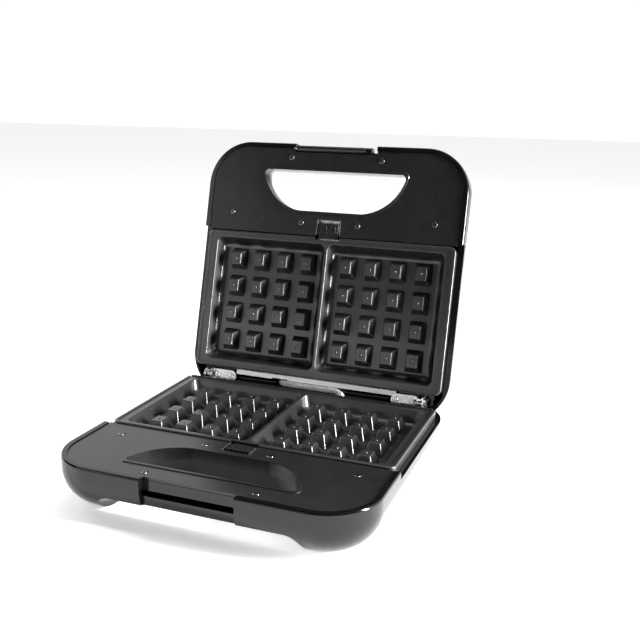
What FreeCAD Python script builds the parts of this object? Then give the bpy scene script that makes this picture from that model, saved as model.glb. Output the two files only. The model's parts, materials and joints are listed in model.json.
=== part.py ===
"""Waffle maker for two waffles, standing with its lid open.

Millimetres, +Z up, +X to the user's right, front at -Y. Both halves are drawn in one "half frame": x to the
right, u forward from the hinge axis, h into the half from the parting plane. to_base() lays a shape down as
the lower half, to_lid() stands the same drawing up as the opened lid.
"""
import FreeCAD, Part
import math
import os

os.makedirs("parts", exist_ok=True)
V = FreeCAD.Vector

# ---- driving dimensions --------------------------------------------------------------------------
OPEN_DEG = 105.2            # lid angle at its open stop
HINGE_Y = 67.35             # hinge axis, seen from the bottom centre of the open machine's box
HINGE_Z = 42.5

SHELL_HALF_X = 128.0        # widest half width, a little below the rim
SHELL_FRONT = 227.0
SHELL_REAR = -19.5
SHELL_DEPTH = 41.0
SHELL_CORNER = 41.5         # plan corner radius
SHELL_ROUND = 30.0          # radius where walls turn into the bottom
SHELL_WALL = 2.5
RIM_ROUND = 3.0
RIM_H = 0.8                 # height of the rim round the handle panel
CLEAR_SLOPE = 0.768         # rear chamfer that lets the two halves fold to OPEN_DEG
CLEAR_START = 0.6
STEP_U = 143.0              # in front of this line the rim is high and carries the handle panel
PLATE_ZONE_RIM = 7.0        # rim depth beside the plates
LEDGE = 2.0                 # thickness of inner ledges

PANEL_H = 1.7
PANEL_THICK = 2.0
PANEL_HALF_X = 122.5
PANEL_REAR = 141.3
PANEL_FRONT = 222.0
PANEL_CORNER = 35.5
SCREW_SPOTS = [(100.0, 159.0), (28.0, 152.7), (44.5, 213.6)]

GRIP_FRONT = 201.5          # clear D-shaped grip hole
GRIP_REAR = 163.8
GRIP_HALF_FRONT = 70.0
GRIP_HALF_REAR = 31.0
GRIP_TUBE = 10.0            # depth of the panel's tube round the hole
GRIP_LIP = 3.0              # width of the raised lip round the hole
LIP_TOP = 2.2
ARCH_CENTRE = 21.5          # finger arch under the base's grip bar
ARCH_ROUND = 12.0
ARCH_HALF_X = 82.0
ARCH_REAR = 165.0

PLATE_HALF_X = 122.0
PLATE_REAR = 8.0
PLATE_FRONT = 140.3
PLATE_TOP = 0.3
PLATE_LAND = 1.3
PLATE_SKIRT = 8.0
PLATE_CORNER = 6.0
BEAD = 2.6
SKIRT_THICK = 2.2
CAVITY_IN = 1.4             # divider half width at its top
CAVITY_OUT = 112.5
CAVITY_REAR = 15.5
CAVITY_FRONT = 134.0
CAVITY_DEPTH = 13.5
CAVITY_DRAFT = 3.9          # how far the cavity walls lean in
CAVITY_ROUND = 6.0          # radius where the cavity walls meet each other and the floor
TUB_CORNER = 7.5
TUB_WALL = 3.0
BLOCK_PITCH_X = 24.0
BLOCK_FIRST_X = 20.0
BLOCK_PITCH_U = 26.27
BLOCK_FIRST_U = 35.4
BLOCK_TOP = 3.4
BLOCK_TOP_SIZE = (9.8, 11.7)
BLOCK_FOOT_SIZE = (16.6, 20.9)
BLOCK_CORNER = 1.6
PIVOT_U = 4.6               # the plate's rear tabs turn here when it is lifted out
PIVOT_H = 6.2
TAB_X = 60.0

PAN_HALF_X = 117.0
PAN_REAR = 11.0
PAN_FRONT = 138.0
PAN_TOP = 8.6
PAN_DEPTH = 26.6
SHEET = 0.6
STRIP_REAR = 2.9
STRIP_FRONT = 6.6
STRIP_H = 3.0

STRIP_LEFT = -78.0
STRIP_RIGHT = 81.0

HEATER_R = 3.25
HEATER_H = 20.3
HEATER_BEND = 12.0
HEATER_LEG_X = 16.0         # the two cold ends
HEATER_SIDE_X = 94.0
HEATER_REAR = 40.0
HEATER_FRONT = 110.0

LEAD_R = 1.1
LEAD_BEND = 8.0
LEAD_END_U = 2.6            # the leads leave the sleeve's end here
LEAD_END_H = 17.2
FUSE_U = 44.0
FUSE_H = 34.4
THERMOSTAT_U = 76.0
THERMOSTAT_R = 9.0
TERMINAL_LEFT = -50.0
TERMINAL_RIGHT = -26.0
TERMINAL_WELLS = (-45.0, -38.0, -31.0)

POCKET_IN = 75.0            # hinge pockets in both shells
POCKET_OUT = 113.0
POCKET_FRONT = 7.4
POCKET_FLOOR = 9.5
TROUGH_R = 3.5              # room for the wire sleeve along the hinge axis
STRAP_H = 0.8
STRAP_THICK = 1.5
EAR_R = 6.0
PIN_R = 2.0
PIN_HEAD_R = 3.4
SPACER_R = 4.2
RUN = 0.05                  # running clearance on the radius
STRAP_EAR = 101.0           # inner face of the lid strap's ear
BRACKET_EAR = 106.5         # inner face of the base bracket's ear
BRACKET_THICK = 1.5
STRAP_SCREWS = (81.7, 96.7)
BRACKET_SCREWS = (85.0, 97.0)
BRACKET_SCREW_U = -1.0
PILOT_R = 1.25              # screw holes in the mouldings
CLEAR_R = 1.7               # screw holes in the metal

RELEASE_LEFT = -11.5
RELEASE_RIGHT = 12.0
RELEASE_FRONT = 156.4
RELEASE_REAR = 142.8
BUTTON_REAR = 144.0
GUIDE_FRONT = 147.0         # the button's tail, which the spring pushes on

CLIP_U = 222.4              # latch clip barrel
CLIP_H = 3.0
CLIP_LEFT = -39.5
CLIP_RIGHT = 27.5
CLIP_PLATE = (-36.0, 26.5)
LUG = (28.5, 34.5)          # the lid's lug that carries the pin's right end
CLIP_BARREL_R = 2.9
CLIP_LENGTH = 17.0
CLIP_PIN_R = 1.1
HOOK_REACH = 6.2
HOOK_THICK = 1.8

RECESS_LEFT = -41.0         # latch recess in the front of both halves
LID_RECESS_RIGHT = 39.5
LID_RECESS_FACE = 219.0
LID_RECESS_H = 23.0
BASE_RECESS_RIGHT = 34.0
BASE_RECESS_FACE = 220.3
GROOVE_FACE = 216.8         # the closed clip's hook rests in this groove
GROOVE_TOP = 11.8
GROOVE_LOW = 14.8
RECESS_STEP = 3.0           # how far the base's front wall is set back below the groove

FOOT_H = HINGE_Z            # the rubber feet end here, level with the table
FOOT_SPOTS = [(93.5, 190.0), (89.0, 16.0)]
FOOT_R = 8.5
GLAND_X = -60.0
GLAND_H = 32.0
GLAND_R = 4.9
GLAND_COLLAR_R = 6.6
GLAND_BORE = 3.1            # room for the mains lead
SLEEVE_X = 33.0
SLEEVE_R = 2.6
SLEEVE_ROOM = 3.4
LENS_X = 9.0
LENS_U = 126.0
LENS_R = 3.2


# ---- shape helpers, all in the half frame --------------------------------------------------------
def box(x0, x1, u0, u1, h0, h1):
    return Part.makeBox(x1 - x0, u1 - u0, h1 - h0, V(x0, u0, h0))


def rod_h(x, u, radius, h0, h1):
    return Part.makeCylinder(radius, h1 - h0, V(x, u, h0), V(0, 0, 1))


def rod_x(u, h, radius, x0, x1):
    return Part.makeCylinder(radius, x1 - x0, V(x0, u, h), V(1, 0, 0))


def rod_u(x, h, radius, u0, u1):
    return Part.makeCylinder(radius, u1 - u0, V(x, u0, h), V(0, 1, 0))


def both_sides(shape):
    """The shape and its mirror image across x = 0."""
    return [shape, shape.mirror(V(0, 0, 0), V(1, 0, 0))]


def carve(shape, tools):
    """Takes the tools away one after the other."""
    for tool in tools:
        shape = shape.cut(tool)
    return shape


def weld(shape, additions):
    """Adds the other shapes one after the other."""
    for addition in additions:
        shape = shape.fuse(addition)
    return shape.removeSplitter()


def group(shapes):
    return Part.makeCompound(shapes)


def round_wire(points, radii, h):
    """Closed outline at depth h whose corners are rounded with tangent arcs."""
    count = len(points)
    edges = []
    starts = []
    ends = []
    for i, radius in enumerate(radii):
        corner = V(points[i][0], points[i][1], h)
        before = V(points[i - 1][0], points[i - 1][1], h) - corner
        after = V(points[(i + 1) % count][0], points[(i + 1) % count][1], h) - corner
        before.normalize()
        after.normalize()
        half = before.getAngle(after) / 2
        reach = radius / math.tan(half)
        middle = before + after
        middle.normalize()
        centre = corner + middle * (radius / math.sin(half))
        start = corner + before * reach
        end = corner + after * reach
        edges.append(Part.Arc(start, centre - middle * radius, end).toShape())
        starts.append(start)
        ends.append(end)
    sides = [Part.makeLine(ends[i - 1], starts[i]) for i in range(count)]
    ordered = []
    for side, arc in zip(sides, edges):
        ordered += [side, arc]
    return Part.Wire(ordered)


def slab(points, radii, h0, h1):
    return Part.Face(round_wire(points, radii, h0)).extrude(V(0, 0, h1 - h0))


def rect(half_x, u0, u1):
    return [(-half_x, u0), (half_x, u0), (half_x, u1), (-half_x, u1)]


def rect_slab(half_x, u0, u1, radius, h0, h1):
    return slab(rect(half_x, u0, u1), [radius] * 4, h0, h1)


def tapered(points_top, points_floor, corner, h0, h1, round_floor=False):
    """A solid with flat leaning sides between two four-cornered outlines.

    Its leaning edges are rounded, and with round_floor the edges at h1 too.
    """
    top = [V(x, u, h0) for x, u in points_top]
    floor = [V(x, u, h1) for x, u in points_floor]
    faces = [Part.Face(Part.makePolygon(ring + ring[:1])) for ring in (top[::-1], floor)]
    for i in range(4):
        side = [top[i - 1], top[i], floor[i], floor[i - 1], top[i - 1]]
        faces.append(Part.Face(Part.makePolygon(side)))
    solid = Part.Solid(Part.Shell(faces))
    rounded = [edge for edge in solid.Edges if edge.BoundBox.ZLength > 1]
    if round_floor:
        rounded += edges_at(solid, h1)
    return solid.makeFillet(corner, rounded)


def edges_at(shape, h, keep=lambda edge: True):
    """Edges that lie flat at depth h."""
    found = []
    for edge in shape.Edges:
        bound = edge.BoundBox
        if abs(bound.ZMin - h) < 1e-4 and abs(bound.ZMax - h) < 1e-4 and keep(edge):
            found.append(edge)
    return found


def sweep(points, bends, radius):
    """A round bar through the points, with a tangent arc at every inner point."""
    places = [V(*p) for p in points]
    pieces = []
    last = places[0]
    for i in range(1, len(places) - 1):
        before = places[i - 1] - places[i]
        after = places[i + 1] - places[i]
        before.normalize()
        after.normalize()
        half = before.getAngle(after) / 2
        reach = bends[i - 1] / math.tan(half)
        middle = before + after
        middle.normalize()
        centre = places[i] + middle * (bends[i - 1] / math.sin(half))
        start = places[i] + before * reach
        end = places[i] + after * reach
        pieces.append(Part.LineSegment(last, start).toShape())
        pieces.append(Part.Arc(start, centre - middle * bends[i - 1], end).toShape())
        last = end
    pieces.append(Part.LineSegment(last, places[-1]).toShape())
    path = Part.Wire(pieces)
    ring = Part.Wire(Part.Circle(places[0], places[1] - places[0], radius).toShape())
    return path.makePipeShell([ring], True, False)


def to_part(shape):
    return shape.translated(V(0, HINGE_Y, HINGE_Z))


def to_base(shape):
    return to_part(shape.rotated(V(0, 0, 0), V(1, 0, 0), 180))


def to_lid(shape):
    closed = shape.mirror(V(0, 0, 0), V(0, 0, 1)).rotated(V(0, 0, 0), V(1, 0, 0), 180)
    return to_part(closed.rotated(V(0, 0, 0), V(1, 0, 0), -OPEN_DEG))


# ---- casing --------------------------------------------------------------------------------------
def bowl(inset):
    """The casing's outer form, moved inward by inset."""
    half_x = SHELL_HALF_X - inset
    depth = SHELL_DEPTH - inset
    body = rect_slab(half_x, SHELL_REAR + inset, SHELL_FRONT - inset, SHELL_CORNER - inset, 0, depth)
    body = body.makeFillet(SHELL_ROUND - inset, edges_at(body, depth))
    if inset == 0:
        body = body.makeFillet(RIM_ROUND, edges_at(body, 0))
    return body


def behind_clearance(inset):
    """Everything behind the slanted rear face, which is moved forward by inset."""
    shift = CLEAR_START + inset * math.hypot(1, CLEAR_SLOPE)
    far = 60.0
    corners = [V(-200, shift, 0), V(-200, shift - CLEAR_SLOPE * far, far), V(-200, -200, far),
               V(-200, -200, -10), V(-200, shift + CLEAR_SLOPE * 10, -10)]
    return Part.Face(Part.makePolygon(corners + corners[:1])).extrude(V(400, 0, 0))


def grip_points(side, front, rear):
    """D-shaped outline: straight front edge, bowed sides, straight rear edge."""
    half_front = GRIP_HALF_FRONT + side
    half_rear = GRIP_HALF_REAR + side * 0.6
    u_front = GRIP_FRONT + front
    u_rear = GRIP_REAR - rear
    return half_front, half_rear, u_front, u_rear


def grip_wire(side, front, rear, h):
    half_front, half_rear, u_front, u_rear = grip_points(side, front, rear)
    bow_x = (half_front + half_rear) / 2 + 5.5
    bow_u = u_rear + (u_front - u_rear) * 0.30
    nick = 4.0
    tip = V(half_front, u_front, h)
    tip_in = V(half_front - nick * 1.6, u_front, h)
    tip_mid = V(half_front - nick * 0.35, u_front - nick * 0.45, h)
    tip_down = V(half_front - nick * 0.25, u_front - nick * 1.6, h)
    bow = V(bow_x, bow_u, h)
    foot = V(half_rear, u_rear, h)
    right = [Part.Arc(foot, bow, tip_down).toShape(), Part.Arc(tip_down, tip_mid, tip_in).toShape()]
    front_edge = Part.makeLine(tip_in, V(-tip_in.x, tip_in.y, h))
    flip = lambda p: V(-p.x, p.y, h)
    left = [Part.Arc(flip(tip_in), flip(tip_mid), flip(tip_down)).toShape(),
            Part.Arc(flip(tip_down), flip(bow), flip(foot)).toShape()]
    rear_edge = Part.makeLine(flip(foot), foot)
    return Part.Wire(right + [front_edge] + left + [rear_edge])


def grip_slab(grow, h0, h1):
    return Part.Face(grip_wire(grow, grow, grow, h0)).extrude(V(0, 0, h1 - h0))


def grip_flare(grow):
    """The hole below the panel's tube, opening outward through the casing."""
    top = grip_wire(GRIP_LIP + grow, GRIP_LIP + grow, GRIP_LIP + grow, GRIP_TUBE - 6)
    low = grip_wire(GRIP_LIP + 9 + grow, GRIP_LIP + 1 + grow, GRIP_LIP + 15 + grow, SHELL_DEPTH + 4)
    return Part.makeLoft([top, low], True, True)


def finger_arch(inset):
    """The hollow under the base's grip bar: a wedge with rounded shoulders, deeper towards the middle."""
    half_x = ARCH_HALF_X + inset
    rise = (SHELL_DEPTH - ARCH_CENTRE) / (SHELL_FRONT - ARCH_REAR)
    far = SHELL_FRONT + 20
    near = ARCH_REAR - 20
    top = ARCH_CENTRE - inset
    corners = [V(-half_x, far, top - 20 * rise), V(-half_x, far, 60), V(-half_x, near, 60),
               V(-half_x, near, top + (SHELL_FRONT - near) * rise)]
    wedge = Part.Face(Part.makePolygon(corners + corners[:1])).extrude(V(2 * half_x, 0, 0))
    shoulders = [edge for edge in wedge.Edges if abs(edge.BoundBox.XMax - edge.BoundBox.XMin) < 0.01
                 and edge.BoundBox.ZMax < 59 and edge.BoundBox.YLength > 50]
    return wedge.makeFillet(ARCH_ROUND + inset, shoulders)


def latch_recess_lid(grow):
    """Room for the folded clip."""
    right = LID_RECESS_RIGHT + grow
    return box(RECESS_LEFT - grow, right, LID_RECESS_FACE - grow, 240, -5, LID_RECESS_H + grow)


def latch_recess_base(grow):
    """Room for the closed clip: an upright face, a groove for its hook, and a step down to the arch."""
    left = RECESS_LEFT - grow
    right = BASE_RECESS_RIGHT + grow
    upper = box(left, right, BASE_RECESS_FACE - grow, 240, -5, GROOVE_TOP + 0.2)
    groove = box(left, right, GROOVE_FACE - grow, 240, GROOVE_TOP - grow, GROOVE_LOW + grow)
    step = box(left, right, ARCH_REAR + 25, 240, GROOVE_LOW - 0.2, 60).cut(bowl(RECESS_STEP + grow))
    return upper.fuse(groove).fuse(step)


def pan_screw_spots():
    return [(side * 62.0, u) for side in (-1, 1) for u in (32.0, 122.0)]


def foot_spots():
    return [(side * x, u) for x, u in FOOT_SPOTS for side in (-1, 1)]


def panel_screw_spots():
    return [(side * x, u) for x, u in SCREW_SPOTS for side in (-1, 1)]


def panel_frame(inset, h0, h1):
    """Everything outside the handle panel's outline, in the raised-rim zone only."""
    around = box(-140, 140, STEP_U, 240, h0, h1)
    corner = PANEL_CORNER - inset
    return around.cut(rect_slab(PANEL_HALF_X - inset, 60, PANEL_FRONT - inset, corner, h0 - 1, h1 + 1))


def shell_ledges():
    under = PANEL_H + PANEL_THICK + 0.2
    beside_plate = box(-140, 140, -40, STEP_U + 1, PLATE_ZONE_RIM, PLATE_ZONE_RIM + LEDGE)
    plate_room = box(-PLATE_HALF_X - 0.6, PLATE_HALF_X + 0.6, -40, STEP_U + 2, 0, 20)
    return [beside_plate.cut(plate_room), panel_frame(-0.3, 0, under), panel_frame(5, under, under + LEDGE)]


def shell_posts():
    top = PANEL_H + PANEL_THICK + 0.2
    posts = [rod_h(x, u, 3.8, top, SHELL_DEPTH) for x, u in panel_screw_spots()]
    return posts + [rod_h(x, u, 3.8, PAN_DEPTH + 0.2, SHELL_DEPTH) for x, u in pan_screw_spots()]


def pocket_lining():
    """Floor and side walls of the two hinge pockets."""
    floor = box(POCKET_IN - 2, POCKET_OUT + 2, -30, POCKET_FRONT, POCKET_FLOOR, POCKET_FLOOR + 2)
    inner = box(POCKET_IN - 2, POCKET_IN, -30, 2.4, 0, POCKET_FLOOR + 1)
    outer = box(POCKET_OUT, POCKET_OUT + 2, -30, 2.4, 0, POCKET_FLOOR + 1)
    return both_sides(floor) + both_sides(inner) + both_sides(outer)


def rim_trim():
    """What is taken off the top: a little along the handle, more beside the plates, none at the rear wall."""
    handle = box(-140, 140, STEP_U, 240, -2, RIM_H)
    plates = box(-140, 140, -40, STEP_U, -2, PLATE_ZONE_RIM).cut(box(-POCKET_OUT, POCKET_OUT, -40, 4, -3, 20))
    return [handle, plates, box(-POCKET_IN - 1, POCKET_IN + 1, 2, 5, -2, 0.6)]


def casing(arched, recess, sleeve_x):
    """One half of the outer casing: bowl, ledges, screw posts and every opening."""
    outer = bowl(0).cut(behind_clearance(0))
    hollow = bowl(SHELL_WALL).cut(behind_clearance(SHELL_WALL))
    if arched:
        outer = outer.cut(finger_arch(0))
        hollow = hollow.cut(finger_arch(SHELL_WALL))
    under = PANEL_H + PANEL_THICK + 0.2
    panel_room = rect_slab(PANEL_HALF_X + 0.3, 60, PANEL_FRONT + 0.3, PANEL_CORNER, -9, under)
    kept = [grip_flare(SHELL_WALL), recess(2.2).cut(panel_room)]
    kept += shell_ledges() + shell_posts() + pocket_lining()
    shell = outer.cut(carve(hollow, kept))
    openings = [grip_flare(0), recess(0), rod_x(0, 0, TROUGH_R, -POCKET_IN - 1, POCKET_IN + 1)] + rim_trim()
    openings += both_sides(box(POCKET_IN, POCKET_OUT, -40, POCKET_FRONT, -2, POCKET_FLOOR))
    inward = 8.0
    if sleeve_x > 0:
        openings.append(box(sleeve_x - SLEEVE_ROOM - inward, sleeve_x + SLEEVE_ROOM, -9, 6, -2, 11))
    else:
        openings.append(box(sleeve_x - SLEEVE_ROOM, sleeve_x + SLEEVE_ROOM + inward, -9, 6, -2, 11))
    openings += [rod_h(x, u, 1.55, 0, 16) for x, u in panel_screw_spots()]
    openings += [rod_h(x, u, 1.55, 20, 36) for x, u in pan_screw_spots()]
    return carve(shell, openings)


def base_shell():
    shell = casing(True, latch_recess_base, SLEEVE_X)
    feet = [rod_h(x, u, FOOT_R, 34, SHELL_DEPTH + 0.6) for x, u in foot_spots()]
    shell = weld(shell, feet + [rod_u(GLAND_X, GLAND_H, 7.5, -13.4, -4)])
    holes = [rod_h(x, u, FOOT_R - 1.5, SHELL_DEPTH - 0.8, 50) for x, u in foot_spots()]
    holes.append(rod_u(GLAND_X, GLAND_H, GLAND_R + 0.1, -20, 0))
    holes.append(rod_u(GLAND_X, GLAND_H, GLAND_COLLAR_R + 0.2, -20, -13.45))
    for x in BRACKET_SCREWS:
        holes += both_sides(rod_h(x, BRACKET_SCREW_U, PILOT_R, 8, 16))
    return carve(shell, holes)


def lid_shell():
    shell = casing(False, latch_recess_lid, -SLEEVE_X)
    pads = both_sides(box(81.4, 100, -4.5, 5.5, STRAP_H + STRAP_THICK, POCKET_FLOOR + 1))
    lug = box(*LUG, LID_RECESS_FACE - 0.1, CLIP_U, 0.2, 14)
    lug = lug.fuse(rod_x(CLIP_U, CLIP_H, CLIP_BARREL_R - 0.1, *LUG))
    lug = lug.fuse(box(*LUG, CLIP_U - 1, CLIP_U + 2.8, CLIP_H, 9))
    shell = weld(shell, pads + [lug])
    holes = [rod_x(CLIP_U, CLIP_H, CLIP_PIN_R + 0.03, -44.5, 36)]
    for x in STRAP_SCREWS:
        holes += both_sides(rod_h(x, 0, PILOT_R, 2, 9))
    holes += both_sides(rod_h(LENS_X, LENS_U, LENS_R + 0.05, 30, 45))
    return carve(shell, holes)


# ---- handle panels -------------------------------------------------------------------------------
def handle_panel(recess):
    corners = [1, 1, PANEL_CORNER, PANEL_CORNER]
    plane = slab(rect(PANEL_HALF_X, PANEL_REAR, PANEL_FRONT), corners, PANEL_H, PANEL_H + PANEL_THICK)
    wires = [grip_wire(LIP_TOP, LIP_TOP, LIP_TOP, PANEL_H - 0.8),
             grip_wire(GRIP_LIP, GRIP_LIP, GRIP_LIP, PANEL_H + 0.4)]
    lip = Part.makeLoft(wires, True, True)
    tube = grip_slab(GRIP_LIP - 1, PANEL_H, PANEL_H + GRIP_TUBE)
    panel = plane.fuse(lip).fuse(tube).cut(grip_slab(0, -2, 20))
    cuts = [box(RELEASE_LEFT, RELEASE_RIGHT, 130, RELEASE_FRONT, -2, 6), recess(0.3)]
    cuts.append(rod_x(CLIP_U, CLIP_H, CLIP_PIN_R + 0.3, -46, 44))
    for x, u in panel_screw_spots():
        cuts.append(rod_h(x, u, 3.3, 0, PANEL_H + 0.9))
        cuts.append(rod_h(x, u, 1.8, 0, 8))
    return carve(panel, cuts)


def screw(x, u, head_h, head_r, head_tall, length, shank_r=1.5):
    """A cross-recessed screw whose head rests at depth head_h and whose shank goes into the half."""
    head = rod_h(x, u, head_r, head_h - head_tall, head_h)
    head = head.makeFillet(head_tall * 0.45, edges_at(head, head_h - head_tall))
    arm = head_r * 0.6
    above = head_h - head_tall - 1
    cross = [box(x - arm, x + arm, u - 0.35, u + 0.35, above, head_h - 0.4),
             box(x - 0.35, x + 0.35, u - arm, u + arm, above, head_h - 0.4)]
    return head.cut(cross).fuse(rod_h(x, u, shank_r, head_h - 0.1, head_h + length)).removeSplitter()


def panel_screws():
    return group([screw(x, u, PANEL_H + 0.9, 2.7, 1.3, 10) for x, u in panel_screw_spots()])


def pan_screws():
    return group([screw(x, u, PAN_DEPTH - SHEET, 2.7, 1.3, 8.5) for x, u in pan_screw_spots()])


# ---- plates --------------------------------------------------------------------------------------
def waffle_block():
    """One raised block with a small round stud on it, at x = u = 0, its top towards the parting plane."""
    foot = CAVITY_DEPTH + 0.5
    top_outline = rect_at(0, 0, *BLOCK_TOP_SIZE)
    foot_outline = rect_at(0, 0, *BLOCK_FOOT_SIZE)
    block = tapered(top_outline, foot_outline, BLOCK_CORNER, BLOCK_TOP, foot)
    block = block.makeFillet(0.8, edges_at(block, BLOCK_TOP))
    return block.fuse(Part.makeSphere(1.1, V(0, 0, BLOCK_TOP + 0.3)))


def rect_at(x, u, width, length):
    return [(x - width / 2, u - length / 2), (x + width / 2, u - length / 2), (x + width / 2, u + length / 2),
            (x - width / 2, u + length / 2)]


def span(x0, x1, u0, u1):
    return [(x0, u0), (x1, u0), (x1, u1), (x0, u1)]


def cavity():
    top = span(CAVITY_IN, CAVITY_OUT, CAVITY_REAR, CAVITY_FRONT)
    lean = CAVITY_DRAFT
    floor = span(CAVITY_IN + lean, CAVITY_OUT - lean, CAVITY_REAR + lean + 0.6, CAVITY_FRONT - lean - 1.6)
    return tapered(top, floor, CAVITY_ROUND, PLATE_LAND, CAVITY_DEPTH, round_floor=True)


def waffle_plate():
    body = rect_slab(PLATE_HALF_X, PLATE_REAR, PLATE_FRONT, PLATE_CORNER, PLATE_TOP, PLATE_SKIRT)
    body = body.makeFillet(BEAD * 0.45, edges_at(body, PLATE_TOP))
    inner = PLATE_CORNER - SKIRT_THICK
    under = rect_slab(PLATE_HALF_X - SKIRT_THICK, PLATE_REAR + SKIRT_THICK, PLATE_FRONT - SKIRT_THICK, inner,
                      PLATE_LAND + SKIRT_THICK, PLATE_SKIRT + 1)
    land = rect_slab(PLATE_HALF_X - BEAD, PLATE_REAR + BEAD, PLATE_FRONT - BEAD, PLATE_CORNER - BEAD, -1,
                     PLATE_LAND)
    body = body.cut([under, land])
    half_x = CAVITY_OUT + TUB_WALL
    tub_top = rect(half_x, CAVITY_REAR - TUB_WALL, CAVITY_FRONT + 2.6)
    tub_floor = rect(half_x - CAVITY_DRAFT, CAVITY_REAR + CAVITY_DRAFT - TUB_WALL,
                     CAVITY_FRONT - CAVITY_DRAFT + 1)
    tub = tapered(tub_top, tub_floor, TUB_CORNER, PLATE_LAND, CAVITY_DEPTH + TUB_WALL)
    tabs = []
    for x in (-TAB_X, TAB_X):
        tabs.append(rod_x(PIVOT_U, PIVOT_H, 1.2, x - 5, x + 5))
        tabs.append(box(x - 5, x + 5, PIVOT_U, PLATE_REAR + 1, PIVOT_H - 0.9, PIVOT_H + 0.9))
    body = carve(weld(body, [tub] + tabs), both_sides(cavity()))
    body = body.makeFillet(0.9, edges_at(body, PLATE_LAND, inside_land))
    blocks = []
    for side in (-1, 1):
        for column in range(4):
            for row in range(4):
                x = side * (BLOCK_FIRST_X + column * BLOCK_PITCH_X)
                blocks.append(waffle_block().translated(V(x, BLOCK_FIRST_U + row * BLOCK_PITCH_U, 0)))
    body = body.fuse(blocks)
    return body.cut(box(-12.5, 12.5, 137.5, PLATE_FRONT + 1, -1, PLATE_SKIRT + 1))


def inside_land(edge):
    bound = edge.BoundBox
    return max(abs(bound.XMin), abs(bound.XMax)) < CAVITY_OUT + 0.1 and bound.YMin > CAVITY_REAR - 0.1


# ---- heating -------------------------------------------------------------------------------------
def reflector_pan(sleeve_x):
    """Bright sheet pan under the plate, with the strip at the hinge side that shows behind the plate."""
    pan = rect_slab(PAN_HALF_X, PAN_REAR, PAN_FRONT, 5, PAN_TOP, PAN_DEPTH)
    hollow = rect_slab(PAN_HALF_X - SHEET, PAN_REAR + SHEET, PAN_FRONT - SHEET, 5 - SHEET, PAN_TOP - 1,
                       PAN_DEPTH - SHEET)
    flange = rect_slab(121.5, 8.6, 139.8, 6, PAN_TOP, PAN_TOP + SHEET)
    link = box(STRIP_LEFT, STRIP_RIGHT, STRIP_FRONT, 12, PAN_TOP, PAN_TOP + SHEET)
    riser = box(STRIP_LEFT, STRIP_RIGHT, STRIP_FRONT, STRIP_FRONT + SHEET, STRIP_H, PAN_TOP + SHEET)
    strip = box(STRIP_LEFT, STRIP_RIGHT, STRIP_REAR, STRIP_FRONT + SHEET, STRIP_H, STRIP_H + SHEET)
    sheet = weld(pan, [flange, link, riser, strip])
    cuts = [hollow, box(sleeve_x - 8, sleeve_x + 8, STRIP_REAR - 1, 3.9, 0, 6)]
    for x in (-TAB_X, TAB_X):
        cuts.append(box(x - 6.5, x + 6.5, STRIP_FRONT - 1, STRIP_FRONT + 2, STRIP_H + 0.9, PLATE_SKIRT + 0.3))
    cuts += [rod_h(x, u, 1.8, 20, 30) for x, u in pan_screw_spots()]
    cuts += both_sides(rod_u(HEATER_LEG_X, HEATER_H, 2.55, 5, 14))
    return carve(sheet, cuts)


def heater():
    """One tube in a wide loop under both cavities."""
    left = [(-HEATER_LEG_X, 13.5), (-HEATER_LEG_X, HEATER_REAR), (-HEATER_SIDE_X, HEATER_REAR),
            (-HEATER_SIDE_X, HEATER_FRONT)]
    right = [(-x, u) for x, u in reversed(left)]
    return sweep([(x, u, HEATER_H) for x, u in left + right], [HEATER_BEND] * 6, HEATER_R)


def heater_terminals():
    pins = []
    for x in (-HEATER_LEG_X, HEATER_LEG_X):
        bush = rod_u(x, HEATER_H, 2.45, 9, 13.5)
        blade = box(x - 2.4, x + 2.4, 2.5, 9, HEATER_H - 0.4, HEATER_H + 0.4)
        pins.append(bush.fuse(blade))
    return group(pins)


def heater_clips():
    clips = []
    for x in (-HEATER_SIDE_X, HEATER_SIDE_X):
        for u in (58, 92):
            foot = box(x - 6, x + 6, u - 4, u + 4, PAN_DEPTH - SHEET - 0.8, PAN_DEPTH - SHEET)
            saddle = box(x - 1.2, x + 1.2, u - 4, u + 4, HEATER_H + HEATER_R, PAN_DEPTH - SHEET)
            clips.append(foot.fuse(saddle))
    return group(clips)


def thermal_fuse():
    """A small sealed body on a stiff wire."""
    return rod_x(FUSE_U, FUSE_H, 2.0, -10, 6).fuse(rod_x(FUSE_U, FUSE_H, 0.5, -14, 10))


def thermostat():
    foot = PAN_DEPTH + 0.2
    can = rod_h(0, THERMOSTAT_U, THERMOSTAT_R, foot, 33)
    cap = rod_h(0, THERMOSTAT_U, THERMOSTAT_R - 3, 32, 35.5)
    return can.fuse([cap, box(-13, 13, THERMOSTAT_U - 4, THERMOSTAT_U + 4, foot, foot + 0.8)])


def terminal_block():
    body = box(TERMINAL_LEFT, TERMINAL_RIGHT, 9, 23, 29, 38.3)
    wells = [rod_h(x, 16, 2.2, 27, 34) for x in TERMINAL_WELLS]
    return body.cut(wells)


def base_leads():
    """Terminal block to thermostat, terminal block to fuse, and sleeve to terminal block."""
    to_thermostat = [(-30, 23.1, 31), (-30, THERMOSTAT_U, 31), (-THERMOSTAT_R - 0.1, THERMOSTAT_U, 31)]
    to_fuse = [(-44, 23.1, FUSE_H), (-44, FUSE_U, FUSE_H), (-14.1, FUSE_U, FUSE_H)]
    from_sleeve = [(SLEEVE_X, LEAD_END_U, LEAD_END_H), (SLEEVE_X, 5, 33), (0, 14, 33),
                   (TERMINAL_RIGHT + 0.1, 14, 33)]
    return group([sweep(to_thermostat, [LEAD_BEND], LEAD_R), sweep(to_fuse, [LEAD_BEND], LEAD_R),
                  sweep(from_sleeve, [5, 20], LEAD_R)])


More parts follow.
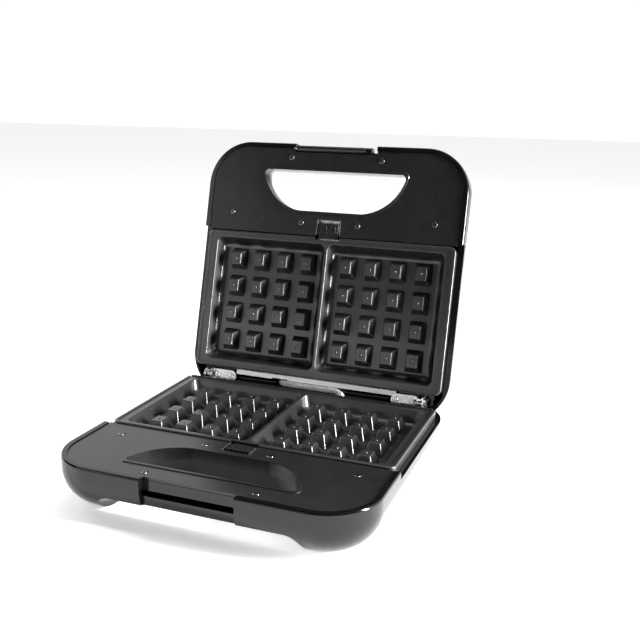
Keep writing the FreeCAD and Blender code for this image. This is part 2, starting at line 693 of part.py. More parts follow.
def lid_leads():
    """Sleeve to fuse, and fuse to the indicator lamps."""
    to_fuse = [(-SLEEVE_X, LEAD_END_U, LEAD_END_H), (-SLEEVE_X, 5, 33), (-SLEEVE_X, FUSE_U, FUSE_H),
               (-14.1, FUSE_U, FUSE_H)]
    to_lamps = [(10.1, FUSE_U, FUSE_H), (22, FUSE_U, FUSE_H), (22, 112, FUSE_H), (9, 121, FUSE_H)]
    return group([sweep(to_fuse, [5, LEAD_BEND], LEAD_R), sweep(to_lamps, [6, 12], LEAD_R)])


def cord_gland():
    bush = rod_u(GLAND_X, GLAND_H, GLAND_R, -15.4, -4)
    collar = rod_u(GLAND_X, GLAND_H, GLAND_COLLAR_R, -16.4, -13.5)
    return bush.fuse(collar).cut(rod_u(GLAND_X, GLAND_H, GLAND_BORE, -20, 2))


# ---- hinge ---------------------------------------------------------------------------------------
def lid_straps():
    top = STRAP_H + STRAP_THICK
    plate = box(83, 102.5, -5.5, 5.5, STRAP_H, top).fuse(rod_h(83, 0, 5.5, STRAP_H, top))
    ear = rod_x(0, 0, EAR_R, STRAP_EAR, STRAP_EAR + STRAP_THICK)
    holes = [rod_x(0, 0, PIN_R + RUN, STRAP_EAR - 3, STRAP_EAR + 5)]
    holes += [rod_h(x, 0, CLEAR_R, 0, 5) for x in STRAP_SCREWS]
    return group(both_sides(carve(plate.fuse(ear), holes)))


def lid_strap_screws():
    return group([screw(side * x, 0, STRAP_H, 2.5, 1.3, 6.5, 1.2) for x in STRAP_SCREWS for side in (-1, 1)])


def base_brackets():
    outer = BRACKET_EAR + BRACKET_THICK
    leaf = box(80, outer, -6, 4, POCKET_FLOOR - BRACKET_THICK, POCKET_FLOOR)
    ear = rod_x(0, 0, EAR_R, BRACKET_EAR, outer).fuse(box(BRACKET_EAR, outer, -5, 4, 0, POCKET_FLOOR))
    holes = [rod_x(0, 0, PIN_R, BRACKET_EAR - 2, outer + 2)]
    holes += [rod_h(x, BRACKET_SCREW_U, CLEAR_R, 5, 12) for x in BRACKET_SCREWS]
    return group(both_sides(carve(leaf.fuse(ear), holes)))


def base_bracket_screws():
    head_h = POCKET_FLOOR - BRACKET_THICK
    places = [(side * x, BRACKET_SCREW_U) for x in BRACKET_SCREWS for side in (-1, 1)]
    return group([screw(x, u, head_h, 2.4, 1.2, 6.5, 1.2) for x, u in places])


def hinge_pins():
    outer = BRACKET_EAR + BRACKET_THICK
    pin = rod_x(0, 0, PIN_R, STRAP_EAR, outer + 1).fuse(rod_x(0, 0, PIN_HEAD_R, outer, outer + 2))
    return group(both_sides(pin))


def hinge_spacers():
    ring = rod_x(0, 0, SPACER_R, STRAP_EAR + STRAP_THICK + 0.1, BRACKET_EAR - 0.1)
    ring = ring.cut(rod_x(0, 0, PIN_R + RUN, STRAP_EAR, BRACKET_EAR + 1))
    return group(both_sides(ring))


def wire_sleeve():
    """Woven sleeve from the base, along the hinge axis, into the lid, drawn in the hinge's own y and z."""
    turn = math.radians(OPEN_DEG)
    down = 17.0
    back = 2.5
    lid_y = -back * math.cos(turn) + down * math.sin(turn)
    lid_z = back * math.sin(turn) + down * math.cos(turn)
    route = [(SLEEVE_X, -back, -down), (SLEEVE_X, 0, 0), (-SLEEVE_X, 0, 0), (-SLEEVE_X, lid_y, lid_z)]
    return sweep(route, [10, 10], SLEEVE_R)


# ---- plate release -------------------------------------------------------------------------------
def release_bracket():
    thin = 0.8
    low = 8.6
    left = box(RELEASE_LEFT, RELEASE_LEFT + thin, RELEASE_REAR, RELEASE_FRONT, PANEL_H - 0.4, low)
    right = box(RELEASE_RIGHT - thin, RELEASE_RIGHT, RELEASE_REAR, RELEASE_FRONT, PANEL_H - 0.4, low)
    floor = box(RELEASE_LEFT, RELEASE_RIGHT, RELEASE_REAR, RELEASE_FRONT, low - thin, low)
    front = box(RELEASE_LEFT, RELEASE_RIGHT, RELEASE_FRONT - thin, RELEASE_FRONT, 4.2, low)
    ears = [box(RELEASE_LEFT - 5, RELEASE_LEFT + thin, 145, 152, 3.9, 4.7),
            box(RELEASE_RIGHT - thin, RELEASE_RIGHT + 5, 145, 152, 3.9, 4.7)]
    return left.fuse([right, floor, front] + ears).removeSplitter()


def release_button():
    top = PANEL_H - 0.6
    body = box(-9.6, 10.1, BUTTON_REAR, 153.2, top, 4.0)
    body = body.makeFillet(0.5, edges_at(body, top))
    ribs = [box(x - 0.6, x + 0.6, 145.4, 150.4, top - 0.5, 3) for x in (-6, -1.7, 2.6, 6.9)]
    nose = box(-9, 10, BUTTON_REAR - 5, BUTTON_REAR + 0.5, 2.6, 4.6)
    guide = box(-10.2, 10.7, BUTTON_REAR, GUIDE_FRONT, 3.9, 7.6)
    return body.fuse(ribs + [nose, guide]).removeSplitter()


def release_spring():
    coil_r = 1.35
    wire_r = 0.28
    length = RELEASE_FRONT - 0.8 - GUIDE_FRONT - 2 * wire_r - 0.1
    helix = Part.makeLongHelix(length / 5, length, coil_r)
    ring = Part.Wire(Part.Circle(V(coil_r, 0, 0), V(0, 1, 0), wire_r).toShape())
    spring = Part.Wire(helix.Edges).makePipeShell([ring], True, True)
    spring = spring.rotated(V(0, 0, 0), V(1, 0, 0), -90)
    return spring.translated(V(0.25, GUIDE_FRONT + wire_r + 0.05, 5.8))


# ---- latch, feet and lamps -----------------------------------------------------------------------
def latch_clip():
    """Clip in its rest place, folded back along the lid's front."""
    back = CLIP_U - CLIP_BARREL_R + 0.1
    plate = box(*CLIP_PLATE, back, back + 2.5, CLIP_H, CLIP_H + CLIP_LENGTH)
    tip = CLIP_H + CLIP_LENGTH
    hook = box(*CLIP_PLATE, back, back + HOOK_REACH, tip - HOOK_THICK, tip)
    hook = hook.makeFillet(HOOK_THICK * 0.5, [edge for edge in edges_at(hook, tip) if edge.Length > 50][-1:])
    barrel = rod_x(CLIP_U, CLIP_H, CLIP_BARREL_R, CLIP_LEFT, CLIP_RIGHT)
    return plate.fuse([hook, barrel]).cut(rod_x(CLIP_U, CLIP_H, CLIP_PIN_R + RUN, -50, 50))


def clip_pin():
    return rod_x(CLIP_U, CLIP_H, CLIP_PIN_R, -43, 35.5)


def rubber_feet():
    pad_r = FOOT_R - 1.6
    return group([rod_h(x, u, pad_r, SHELL_DEPTH - 0.8, FOOT_H) for x, u in foot_spots()])


def lens(x):
    stem = rod_h(x, LENS_U, LENS_R, 36.5, SHELL_DEPTH)
    dome = Part.makeSphere(LENS_R * 1.25, V(x, LENS_U, SHELL_DEPTH - LENS_R * 0.75))
    dome = dome.common(rod_h(x, LENS_U, LENS_R, SHELL_DEPTH - 1, SHELL_DEPTH + 5))
    return stem.fuse(dome)


def lamps():
    bulbs = [rod_x(LENS_U, 33.5, 2.4, side * LENS_X - 6, side * LENS_X + 6) for side in (-1, 1)]
    return group(bulbs)


def pieces():
    """Every node of the machine, by name."""
    base = {
        "base_shell": base_shell(), "base_handle_panel": handle_panel(latch_recess_base),
        "base_panel_screws": panel_screws(), "lower_plate": waffle_plate(),
        "base_reflector": reflector_pan(SLEEVE_X), "base_reflector_screws": pan_screws(),
        "base_heater": heater(), "base_heater_terminals": heater_terminals(),
        "base_heater_clips": heater_clips(),
        "thermostat": thermostat(), "base_thermal_fuse": thermal_fuse(), "terminal_block": terminal_block(),
        "base_lead_wires": base_leads(), "cord_gland": cord_gland(), "rubber_feet": rubber_feet(),
        "base_hinge_brackets": base_brackets(), "base_hinge_screws": base_bracket_screws(),
        "hinge_pins": hinge_pins(), "hinge_spacers": hinge_spacers(),
        "base_release_bracket": release_bracket(), "base_release_button": release_button(),
        "base_release_spring": release_spring(),
    }
    lid = {
        "lid_shell": lid_shell(), "lid_handle_panel": handle_panel(latch_recess_lid),
        "lid_panel_screws": panel_screws(), "upper_plate": waffle_plate(),
        "lid_reflector": reflector_pan(-SLEEVE_X), "lid_reflector_screws": pan_screws(),
        "lid_heater": heater(), "lid_heater_terminals": heater_terminals(),
        "lid_heater_clips": heater_clips(),
        "lid_thermal_fuse": thermal_fuse(), "lid_lead_wires": lid_leads(),
        "lid_hinge_straps": lid_straps(), "lid_hinge_screws": lid_strap_screws(),
        "lid_release_bracket": release_bracket(), "lid_release_button": release_button(),
        "lid_release_spring": release_spring(), "latch_clip": latch_clip(), "latch_pin": clip_pin(),
        "power_lens": lens(-LENS_X), "ready_lens": lens(LENS_X), "indicator_lamps": lamps(),
    }
    placed = {name: to_base(shape) for name, shape in base.items()}
    placed.update({name: to_lid(shape) for name, shape in lid.items()})
    placed["wire_sleeve"] = to_part(wire_sleeve())
    return placed


for node, shape in pieces().items():
    solids = len(shape.Solids)
    print(f"{node:24s} solids {solids} valid {shape.isValid()} volume {shape.Volume:.0f}")
    shape.exportStep(f"parts/{node}.step")
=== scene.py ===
"""Waffle maker with its lid open: materials, fine pieces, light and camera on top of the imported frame."""

import math

import bmesh
import bpy
from mathutils import Matrix, Vector
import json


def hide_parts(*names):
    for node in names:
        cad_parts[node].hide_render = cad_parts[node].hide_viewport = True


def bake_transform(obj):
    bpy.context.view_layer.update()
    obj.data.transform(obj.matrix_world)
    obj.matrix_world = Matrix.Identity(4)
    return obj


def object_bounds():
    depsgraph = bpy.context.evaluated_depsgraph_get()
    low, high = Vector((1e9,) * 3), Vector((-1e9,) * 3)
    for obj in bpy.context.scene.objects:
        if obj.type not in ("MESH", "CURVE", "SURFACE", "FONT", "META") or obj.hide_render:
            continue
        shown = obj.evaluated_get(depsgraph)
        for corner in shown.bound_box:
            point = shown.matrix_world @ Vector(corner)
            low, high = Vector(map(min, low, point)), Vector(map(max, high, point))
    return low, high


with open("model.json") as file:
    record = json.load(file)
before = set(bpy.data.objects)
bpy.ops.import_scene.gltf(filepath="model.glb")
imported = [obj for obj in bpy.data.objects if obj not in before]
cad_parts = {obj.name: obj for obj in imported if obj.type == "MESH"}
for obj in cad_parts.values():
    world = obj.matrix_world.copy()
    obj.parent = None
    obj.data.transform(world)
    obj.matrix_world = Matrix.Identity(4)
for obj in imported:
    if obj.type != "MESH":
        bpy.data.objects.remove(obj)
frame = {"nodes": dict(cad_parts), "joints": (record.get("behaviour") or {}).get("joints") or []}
nodes = frame["nodes"]
cad_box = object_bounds()
MM = 0.001

joints = {joint["name"]: joint for joint in frame["joints"]}
hinge = Vector(joints["lid_hinge"]["pos_m"])
open_angle = math.radians(-joints["lid_hinge"]["range_deg"][0])


def lid_point(x, u, h):
    """A point of the opened lid in metres: x to the right, u along it from the hinge, h into it."""
    y = -u * math.cos(open_angle) + h * math.sin(open_angle)
    z = u * math.sin(open_angle) + h * math.cos(open_angle)
    return hinge + Vector((x, y, z))


# ---- shader helpers ----
class Shader:
    """A material with short ways to add and link nodes."""

    def __init__(self, name):
        self.material = bpy.data.materials.new(name)
        self.material.use_nodes = True
        self.tree = self.material.node_tree
        self.surface = self.tree.nodes["Principled BSDF"]
        self.place = self.tree.nodes.new("ShaderNodeTexCoord").outputs["Object"]

    def set(self, **values):
        """Constants on the surface shader's own sockets."""
        for key, value in values.items():
            self.surface.inputs[key.replace("_", " ")].default_value = value

    def node(self, kind, links=None, **settings):
        """A new shader node with its settings and its incoming links."""
        node = self.tree.nodes.new(kind)
        for key, value in settings.items():
            if key in node.inputs:
                node.inputs[key].default_value = value
            else:
                setattr(node, key, value)
        for key, source in (links or {}).items():
            self.tree.links.new(source, node.inputs[key])
        return node

    def stretched(self, scale):
        return self.node("ShaderNodeMapping", {"Vector": self.place}, Scale=scale).outputs["Vector"]

    def noise(self, scale, detail=4.0, roughness=0.5, place=None):
        links = {"Vector": place or self.place}
        node = self.node("ShaderNodeTexNoise", links, Scale=scale, Detail=detail, Roughness=roughness)
        return node.outputs["Fac"]

    def ramp(self, value, stops):
        """A smooth map from value to colour: stops are (position, grey or colour)."""
        node = self.node("ShaderNodeValToRGB", {"Fac": value})
        band = node.color_ramp
        while len(band.elements) < len(stops):
            band.elements.new(0.5)
        for element, (position, tone) in zip(band.elements, stops):
            element.position = position
            element.color = (*tone, 1) if isinstance(tone, tuple) else (tone, tone, tone, 1)
        return node.outputs["Color"]

    def mix(self, factor, first, second):
        node = self.tree.nodes.new("ShaderNodeMix")
        node.data_type = "RGBA"
        for socket, value in ((node.inputs[0], factor), (node.inputs[6], first), (node.inputs[7], second)):
            if isinstance(value, bpy.types.NodeSocket):
                self.tree.links.new(value, socket)
            else:
                socket.default_value = value
        return node.outputs[2]

    def multiply(self, first, second):
        node = self.node("ShaderNodeMath", {0: first, 1: second}, operation="MULTIPLY")
        return node.outputs[0]

    def color(self, source):
        self.tree.links.new(source, self.surface.inputs["Base Color"])

    def roughness(self, source):
        self.tree.links.new(source, self.surface.inputs["Roughness"])

    def bump(self, height, strength, distance):
        node = self.node("ShaderNodeBump", {"Height": height}, Strength=strength, Distance=distance)
        if self.surface.inputs["Normal"].is_linked:
            self.tree.links.new(self.surface.inputs["Normal"].links[0].from_socket, node.inputs["Normal"])
        self.tree.links.new(node.outputs["Normal"], self.surface.inputs["Normal"])


# ---- materials ----
def gloss_plastic():
    """High-gloss black moulding: faint orange peel, faint wiping marks in the gloss."""
    shader = Shader("gloss_black_moulding")
    shader.set(IOR=1.5, Specular_IOR_Level=0.4)
    shader.color(shader.ramp(shader.noise(55.0, 3.0), [
        (0.3, (0.0028, 0.0028, 0.0032)),
        (0.7, (0.0045, 0.0045, 0.005)),
    ]))
    wiped = shader.noise(9.0, 6.0, 0.6, shader.stretched((1.0, 2.6, 1.0)))
    shader.roughness(shader.ramp(wiped, [(0.35, 0.085), (0.75, 0.15)]))
    shader.bump(shader.noise(420.0, 2.0), 0.05, 0.00012)
    return shader.material


def satin_plastic():
    """Satin black handle panel: fine even grain with a soft sheen."""
    shader = Shader("satin_black_panel")
    shader.set(IOR=1.5, Specular_IOR_Level=0.5)
    shader.color(shader.ramp(shader.noise(90.0, 3.0), [
        (0.3, (0.0075, 0.0075, 0.008)),
        (0.7, (0.011, 0.011, 0.0115)),
    ]))
    shader.roughness(shader.ramp(shader.noise(16.0, 5.0), [(0.3, 0.25), (0.7, 0.31)]))
    shader.bump(shader.noise(2600.0, 2.0), 0.10, 0.00005)
    return shader.material


def nonstick_coating():
    """Cast plate under a dark satin non-stick coating with fine pale specks."""
    shader = Shader("nonstick_coating")
    shader.set(Metallic=0.85, IOR=1.5, Coat_Weight=0.3, Coat_Roughness=0.13)
    broad = shader.noise(14.0, 6.0, 0.6)
    base = shader.ramp(broad, [(0.3, (0.062, 0.062, 0.064)), (0.72, (0.088, 0.088, 0.091))])
    specks = shader.node("ShaderNodeTexVoronoi", {"Vector": shader.place}, Scale=1300.0).outputs["Distance"]
    glint = shader.ramp(specks, [(0.08, 0.6), (0.16, 0.0)])
    shader.color(shader.mix(shader.multiply(glint, shader.noise(600.0, 1.0)), base, (0.5, 0.5, 0.51, 1)))
    shader.roughness(shader.ramp(shader.noise(40.0, 5.0), [(0.3, 0.31), (0.7, 0.4)]))
    shader.bump(shader.noise(1400.0, 3.0), 0.14, 0.00006)
    shader.bump(shader.noise(160.0, 4.0), 0.05, 0.0002)
    return shader.material


def rolled_sheet():
    """Bright aluminised sheet with the fine lines of rolling along its length."""
    shader = Shader("aluminised_sheet")
    shader.set(Metallic=1.0)
    lines = shader.noise(60.0, 6.0, 0.7, shader.stretched((1.0, 60.0, 60.0)))
    shader.color(shader.ramp(lines, [(0.3, (0.74, 0.74, 0.75)), (0.7, (0.92, 0.92, 0.93))]))
    shader.roughness(shader.ramp(lines, [(0.3, 0.26), (0.7, 0.42)]))
    shader.bump(lines, 0.2, 0.00015)
    return shader.material


def zinc_plate(name, low, high, rough):
    """Plated steel: cloudy tone, fine tumbling marks."""
    shader = Shader(name)
    shader.set(Metallic=1.0)
    shader.color(shader.ramp(shader.noise(240.0, 5.0, 0.6), [(0.3, low), (0.7, high)]))
    shader.roughness(shader.ramp(shader.noise(900.0, 3.0), [(0.3, rough), (0.7, rough + 0.14)]))
    shader.bump(shader.noise(1800.0, 2.0), 0.05, 0.0001)
    return shader.material


def heater_steel():
    """Stainless tube with the brown and blue tints of heating."""
    shader = Shader("oxidised_heater_tube")
    shader.set(Metallic=1.0)
    tint = shader.noise(22.0, 4.0, 0.6)
    shader.color(shader.ramp(tint, [
        (0.3, (0.16, 0.14, 0.13)),
        (0.55, (0.25, 0.25, 0.24)),
        (0.8, (0.2, 0.17, 0.2)),
    ]))
    shader.roughness(shader.ramp(shader.noise(700.0, 3.0), [(0.3, 0.4), (0.7, 0.58)]))
    shader.bump(shader.noise(1500.0, 2.0), 0.2, 0.0001)
    return shader.material


def plain_moulding(name, low, high, rough, grain=1500.0):
    """Ordinary moulded part: slight tone change and grain."""
    shader = Shader(name)
    shader.color(shader.ramp(shader.noise(120.0, 4.0), [(0.3, low), (0.7, high)]))
    shader.roughness(shader.ramp(shader.noise(60.0, 4.0), [(0.3, rough), (0.7, rough + 0.1)]))
    shader.bump(shader.noise(grain, 2.0), 0.2, 0.0001)
    return shader.material


def clear_lens(name, tone):
    """Half-clear coloured moulding with a glossy skin."""
    shader = Shader(name)
    shader.set(Transmission_Weight=0.35, IOR=1.49, Coat_Weight=0.6)
    dark = tuple(part * 0.6 for part in tone)
    shader.color(shader.ramp(shader.noise(300.0, 2.0), [(0.3, dark), (0.7, tone)]))
    shader.roughness(shader.ramp(shader.noise(120.0, 3.0), [(0.3, 0.08), (0.7, 0.16)]))
    return shader.material


def woven_silver():
    """Silver and glass yarn: bright strands, with painted shade darkening the low gaps between them."""
    shader = Shader("woven_sleeve_yarn")
    shader.set(Metallic=0.75)
    strands = shader.noise(2400.0, 4.0, 0.6)
    # the dark end of this ramp is painted shade: it falls where the same noise makes the bump low, in the
    # gaps between strands
    shader.color(shader.ramp(strands, [(0.3, (0.3, 0.3, 0.31)), (0.7, (0.78, 0.78, 0.79))]))
    shader.roughness(shader.ramp(strands, [(0.3, 0.28), (0.7, 0.5)]))
    shader.bump(strands, 0.3, 0.0001)
    return shader.material


def dress(looks):
    """Gives every CAD node its material."""
    for material, names in looks:
        for name in names:
            slots = nodes[name].data.materials
            slots.clear()
            slots.append(material)


def dress_all():
    zinc = zinc_plate("zinc_plate", (0.64, 0.64, 0.65), (0.86, 0.86, 0.87), 0.18)
    dark_zinc = zinc_plate("blackened_screw", (0.12, 0.12, 0.125), (0.26, 0.26, 0.27), 0.2)
    ceramic = plain_moulding("glazed_ceramic", (0.66, 0.64, 0.6), (0.8, 0.78, 0.74), 0.22, 900.0)
    black = plain_moulding("moulded_black", (0.006, 0.006, 0.0065), (0.011, 0.011, 0.012), 0.24)
    rubber = plain_moulding("foot_rubber", (0.012, 0.012, 0.012), (0.022, 0.022, 0.022), 0.6, 800.0)
    silicone = plain_moulding("lead_silicone", (0.6, 0.6, 0.57), (0.74, 0.74, 0.71), 0.4)
    sheet = rolled_sheet()
    dress([
        (gloss_plastic(), ["base_shell", "lid_shell"]),
        (satin_plastic(), ["base_handle_panel", "lid_handle_panel"]),
        (nonstick_coating(), ["lower_plate", "upper_plate"]),
        (sheet, ["base_reflector", "lid_reflector", "base_heater_clips", "lid_heater_clips"]),
        (zinc, ["base_hinge_brackets", "base_hinge_screws", "lid_hinge_straps", "lid_hinge_screws"]),
        (zinc, ["hinge_pins", "hinge_spacers", "base_release_bracket", "lid_release_bracket", "latch_pin"]),
        (zinc, ["base_release_spring", "lid_release_spring"]),
        (zinc, ["base_reflector_screws", "lid_reflector_screws"]),
        (dark_zinc, ["base_panel_screws", "lid_panel_screws"]),
        (heater_steel(), ["base_heater", "lid_heater"]),
        (ceramic, ["base_heater_terminals", "lid_heater_terminals", "terminal_block", "thermostat"]),
        (silicone, ["base_lead_wires", "lid_lead_wires", "base_thermal_fuse", "lid_thermal_fuse"]),
        (black, ["base_release_button", "lid_release_button", "latch_clip"]),
        (rubber, ["rubber_feet", "cord_gland"]),
        (clear_lens("red_lens", (0.55, 0.02, 0.02)), ["power_lens"]),
        (clear_lens("green_lens", (0.04, 0.42, 0.09)), ["ready_lens"]),
        (clear_lens("lamp_glass", (0.75, 0.7, 0.62)), ["indicator_lamps"]),
    ])


EDGE_ANGLE = math.radians(38)
EDGE_SEGMENTS = 3
JOIN_DISTANCE = 0.002 * MM
SHADING_WEIGHT = 60


def soften_edges():
    """Small moulded and pressed radii on the CAD nodes, in millimetres, as modifiers."""
    radii = {
        "base_shell": 0.7, "lid_shell": 0.7, "base_handle_panel": 0.55, "lid_handle_panel": 0.55,
        "lower_plate": 0.6, "upper_plate": 0.6, "latch_clip": 0.45, "base_release_button": 0.25,
        "lid_release_button": 0.25, "rubber_feet": 0.6, "lid_hinge_straps": 0.25,
        "base_hinge_brackets": 0.25, "cord_gland": 0.4,
    }
    for name, radius in radii.items():
        node = nodes[name]
        weld = node.modifiers.new("join", "WELD")
        weld.merge_threshold = JOIN_DISTANCE
        bevel = node.modifiers.new("edge radius", "BEVEL")
        bevel.width = radius * MM
        bevel.segments = EDGE_SEGMENTS
        bevel.limit_method = "ANGLE"
        bevel.angle_limit = EDGE_ANGLE
        bevel.miter_outer = "MITER_ARC"
        bevel.use_clamp_overlap = True
        smooth = node.modifiers.new("even shading", "WEIGHTED_NORMAL")
        smooth.weight = SHADING_WEIGHT


# ---- woven sleeve ----
SLEEVE_X = 33 * MM
SLEEVE_R = 2.45 * MM
SLEEVE_ENDS = (2.5 * MM, 17 * MM)
SLEEVE_BEND = 10 * MM
SLEEVE_STEP = 1 * MM
BEND_STEPS = 10
YARNS_EACH_WAY = 9
YARN_R = 0.42 * MM
YARN_TURN = 0.21
YARN_SIDES = 6
CORE_SIDES = 20
CORE_SHARE = 0.86
YARN_LIFT = 0.9
YARN_WAVE = 0.05


def rounded_route(corners, bend, step):
    """Points every step or so along straight runs joined by tangent arcs."""
    points = [corners[0]]
    for before, corner, after in zip(corners, corners[1:], corners[2:]):
        back = (before - corner).normalized()
        onward = (after - corner).normalized()
        half = back.angle(onward) / 2
        middle = (back + onward).normalized()
        centre = corner + middle * (bend / math.sin(half))
        start = corner + back * (bend / math.tan(half))
        end = corner + onward * (bend / math.tan(half))
        points += run_points(points[-1], start, step)
        for i in range(1, BEND_STEPS + 1):
            arm = (start - centre).normalized().slerp((end - centre).normalized(), i / BEND_STEPS)
            points.append(centre + arm * bend)
    points += run_points(points[-1], corners[-1], step)
    return points


def run_points(start, end, step):
    count = max(1, round((end - start).length / step))
    return [start.lerp(end, i / count) for i in range(1, count + 1)]


def frames_along(points):
    """A steady pair of side directions at each point of a route."""
    side = None
    result = []
    for i, point in enumerate(points):
        ahead = (points[min(i + 1, len(points) - 1)] - points[max(i - 1, 0)]).normalized()
        if side is None:
            side = ahead.orthogonal().normalized()
        side = (side - ahead * side.dot(ahead)).normalized()
        result.append((point, side, ahead.cross(side)))
    return result


def tube(name, points, radius, sides):
    """A closed round tube along the points."""
    mesh = bmesh.new()
    rings = []
    turns = [2 * math.pi * k / sides for k in range(sides)]
    for point, first, second in frames_along(points):
        spokes = [(first * math.cos(turn) + second * math.sin(turn)) * radius for turn in turns]
        rings.append([mesh.verts.new(point + spoke) for spoke in spokes])
    for low, high in zip(rings, rings[1:]):
        for k in range(sides):
            face = mesh.faces.new((low[k], low[(k + 1) % sides], high[(k + 1) % sides], high[k]))
            face.smooth = True
    mesh.faces.new(list(reversed(rings[0])))
    mesh.faces.new(rings[-1])
    bmesh.ops.recalc_face_normals(mesh, faces=mesh.faces)
    data = bpy.data.meshes.new(name)
    mesh.to_mesh(data)
    mesh.free()
    piece = bpy.data.objects.new(name, data)
    bpy.context.scene.collection.objects.link(piece)
    return piece


def woven_sleeve():
    """The lead's woven sleeve: a dark core under two sets of yarns that wind opposite ways."""
    down, out = SLEEVE_ENDS
    corners = [hinge + Vector((SLEEVE_X, -down, -out)), hinge + Vector((SLEEVE_X, 0, 0)),
               hinge + Vector((-SLEEVE_X, 0, 0)), lid_point(-SLEEVE_X, down, out)]
    route = rounded_route(corners, SLEEVE_BEND, SLEEVE_STEP)
    frames = frames_along(route)
    silver = woven_silver()
    parts = [tube("sleeve_core", route, SLEEVE_R * CORE_SHARE, CORE_SIDES)]
    for direction in (-1, 1):
        for yarn in range(YARNS_EACH_WAY):
            path = []
            for i, (point, first, second) in enumerate(frames):
                angle = direction * i * YARN_TURN + 2 * math.pi * yarn / YARNS_EACH_WAY
                wave = YARN_WAVE * direction * math.sin(angle * YARNS_EACH_WAY / 2)
                lift = SLEEVE_R * (YARN_LIFT + wave)
                path.append(point + (first * math.cos(angle) + second * math.sin(angle)) * lift)
            parts.append(tube("sleeve_yarn", path, YARN_R, YARN_SIDES))
    sleeve = joined("woven_sleeve", parts)
    sleeve.data.materials.clear()
    sleeve.data.materials.append(silver)
    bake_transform(sleeve)
    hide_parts("wire_sleeve")


def joined(name, parts):
    """One object from several."""
    mesh = bmesh.new()
    for part in parts:
        mesh.from_mesh(part.data)
        bpy.data.objects.remove(part)
    data = bpy.data.meshes.new(name)
    mesh.to_mesh(data)
    mesh.free()
    piece = bpy.data.objects.new(name, data)
    bpy.context.scene.collection.objects.link(piece)
    return piece


# ---- room, light and camera ----
WHITE_SWEEP = 1.05
DIM_ROOM = 0.035
FADE_START = 0.0
FADE_END = 0.35
FLOOR_GLOW = 0.5
FLOOR_HALF = 6.0


def floor():
    """The pale, faintly glowing surface that the object stands on."""
    mesh = bmesh.new()
    turns = ((-1, -1), (1, -1), (1, 1), (-1, 1))
    corners = [mesh.verts.new((x * FLOOR_HALF, y * FLOOR_HALF, 0)) for x, y in turns]
    mesh.faces.new(corners)
    data = bpy.data.meshes.new("floor")
    mesh.to_mesh(data)
    mesh.free()
    piece = bpy.data.objects.new("floor", data)
    bpy.context.scene.collection.objects.link(piece)
    shader = Shader("pale_floor")
    shader.color(shader.ramp(shader.noise(2.0, 2.0), [(0.3, (0.93, 0.93, 0.93)), (0.7, (0.95, 0.95, 0.95))]))
    shader.set(Roughness=0.9, Specular_IOR_Level=0.0)
    shader.set(Emission_Color=(1, 1, 1, 1), Emission_Strength=FLOOR_GLOW)
    data.materials.append(shader.material)


def studio_surroundings():
    """A white sweep that the picture shows; the object mirrors it at the back and a dim room in front."""
    world = bpy.data.worlds.new("studio")
    bpy.context.scene.world = world
    world.use_nodes = True
    tree = world.node_tree
    place = tree.nodes.new("ShaderNodeTexCoord")
    split = tree.nodes.new("ShaderNodeSeparateXYZ")
    fade = tree.nodes.new("ShaderNodeMapRange")
    fade.interpolation_type = "SMOOTHSTEP"
    fade.inputs["From Min"].default_value = FADE_START
    fade.inputs["From Max"].default_value = FADE_END
    fade.inputs["To Min"].default_value = DIM_ROOM
    fade.inputs["To Max"].default_value = WHITE_SWEEP
    seen = tree.nodes.new("ShaderNodeLightPath")
    pick = tree.nodes.new("ShaderNodeMix")
    pick.inputs["B"].default_value = WHITE_SWEEP
    tree.links.new(place.outputs["Generated"], split.inputs[0])
    tree.links.new(split.outputs["Y"], fade.inputs["Value"])
    tree.links.new(seen.outputs["Is Camera Ray"], pick.inputs["Factor"])
    tree.links.new(fade.outputs[0], pick.inputs["A"])
    tree.links.new(pick.outputs[0], tree.nodes["Background"].inputs["Strength"])
    tree.nodes["Background"].inputs["Color"].default_value = (1, 1, 1, 1)


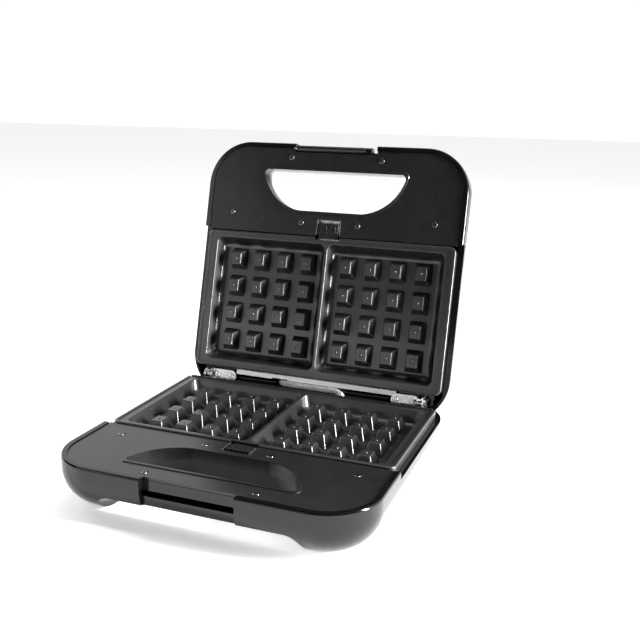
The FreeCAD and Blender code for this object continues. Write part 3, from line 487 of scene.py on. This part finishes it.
def softbox(name, place, aim, width, height, power):
    """A rectangular light that faces its aim."""
    light = bpy.data.lights.new(name, "AREA")
    light.shape = "RECTANGLE"
    light.size = width
    light.size_y = height
    light.energy = power
    lamp = bpy.data.objects.new(name, light)
    lamp.location = place
    lamp.rotation_euler = (Vector(aim) - Vector(place)).to_track_quat("-Z", "Y").to_euler()
    bpy.context.scene.collection.objects.link(lamp)


def studio_lights():
    middle = (cad_box[0] + cad_box[1]) / 2
    softbox("right_strip", middle + Vector((1.25, 0.02, 0.2)), middle, 0.16, 0.9, 92)
    softbox("left_softbox", middle + Vector((-1.2, 0.35, 0.5)), middle, 0.5, 0.8, 8)
    softbox("front_left_softbox", middle + Vector((-1.0, -1.05, 0.42)), middle, 0.5, 0.6, 1.5)
    softbox("low_front_softbox", middle + Vector((-0.42, -1.1, 0.2)), middle, 0.6, 0.14, 0.6)
    softbox("top_softbox", middle + Vector((0.1, 0.3, 1.5)), middle, 1.2, 1.0, 7)


CAMERA_AZIMUTH = math.radians(20.83)
CAMERA_ELEVATION = math.radians(14.89)
CAMERA_ROLL = math.radians(0.81)
CAMERA_DISTANCE = 0.7745
CAMERA_AIM = hinge + Vector((0.0086, 0, 0.0659))
CAMERA_LENS = 48.04
SENSOR_WIDTH = 36


def camera():
    data = bpy.data.cameras.new("camera")
    data.sensor_width = SENSOR_WIDTH
    data.lens = CAMERA_LENS
    data.clip_start = 0.01
    eye = bpy.data.objects.new("camera", data)
    back = Vector((math.sin(CAMERA_AZIMUTH) * math.cos(CAMERA_ELEVATION),
                   -math.cos(CAMERA_AZIMUTH) * math.cos(CAMERA_ELEVATION), math.sin(CAMERA_ELEVATION)))
    turn = back.to_track_quat("Z", "Y").to_matrix().to_4x4()
    roll = Matrix.Rotation(CAMERA_ROLL, 4, "Z")
    eye.matrix_world = Matrix.Translation(CAMERA_AIM + back * CAMERA_DISTANCE) @ turn @ roll
    bpy.context.scene.collection.objects.link(eye)
    bpy.context.scene.camera = eye


dress_all()
soften_edges()
woven_sleeve()
floor()
studio_surroundings()
studio_lights()
camera()
bpy.context.scene.view_settings.view_transform = "Standard"
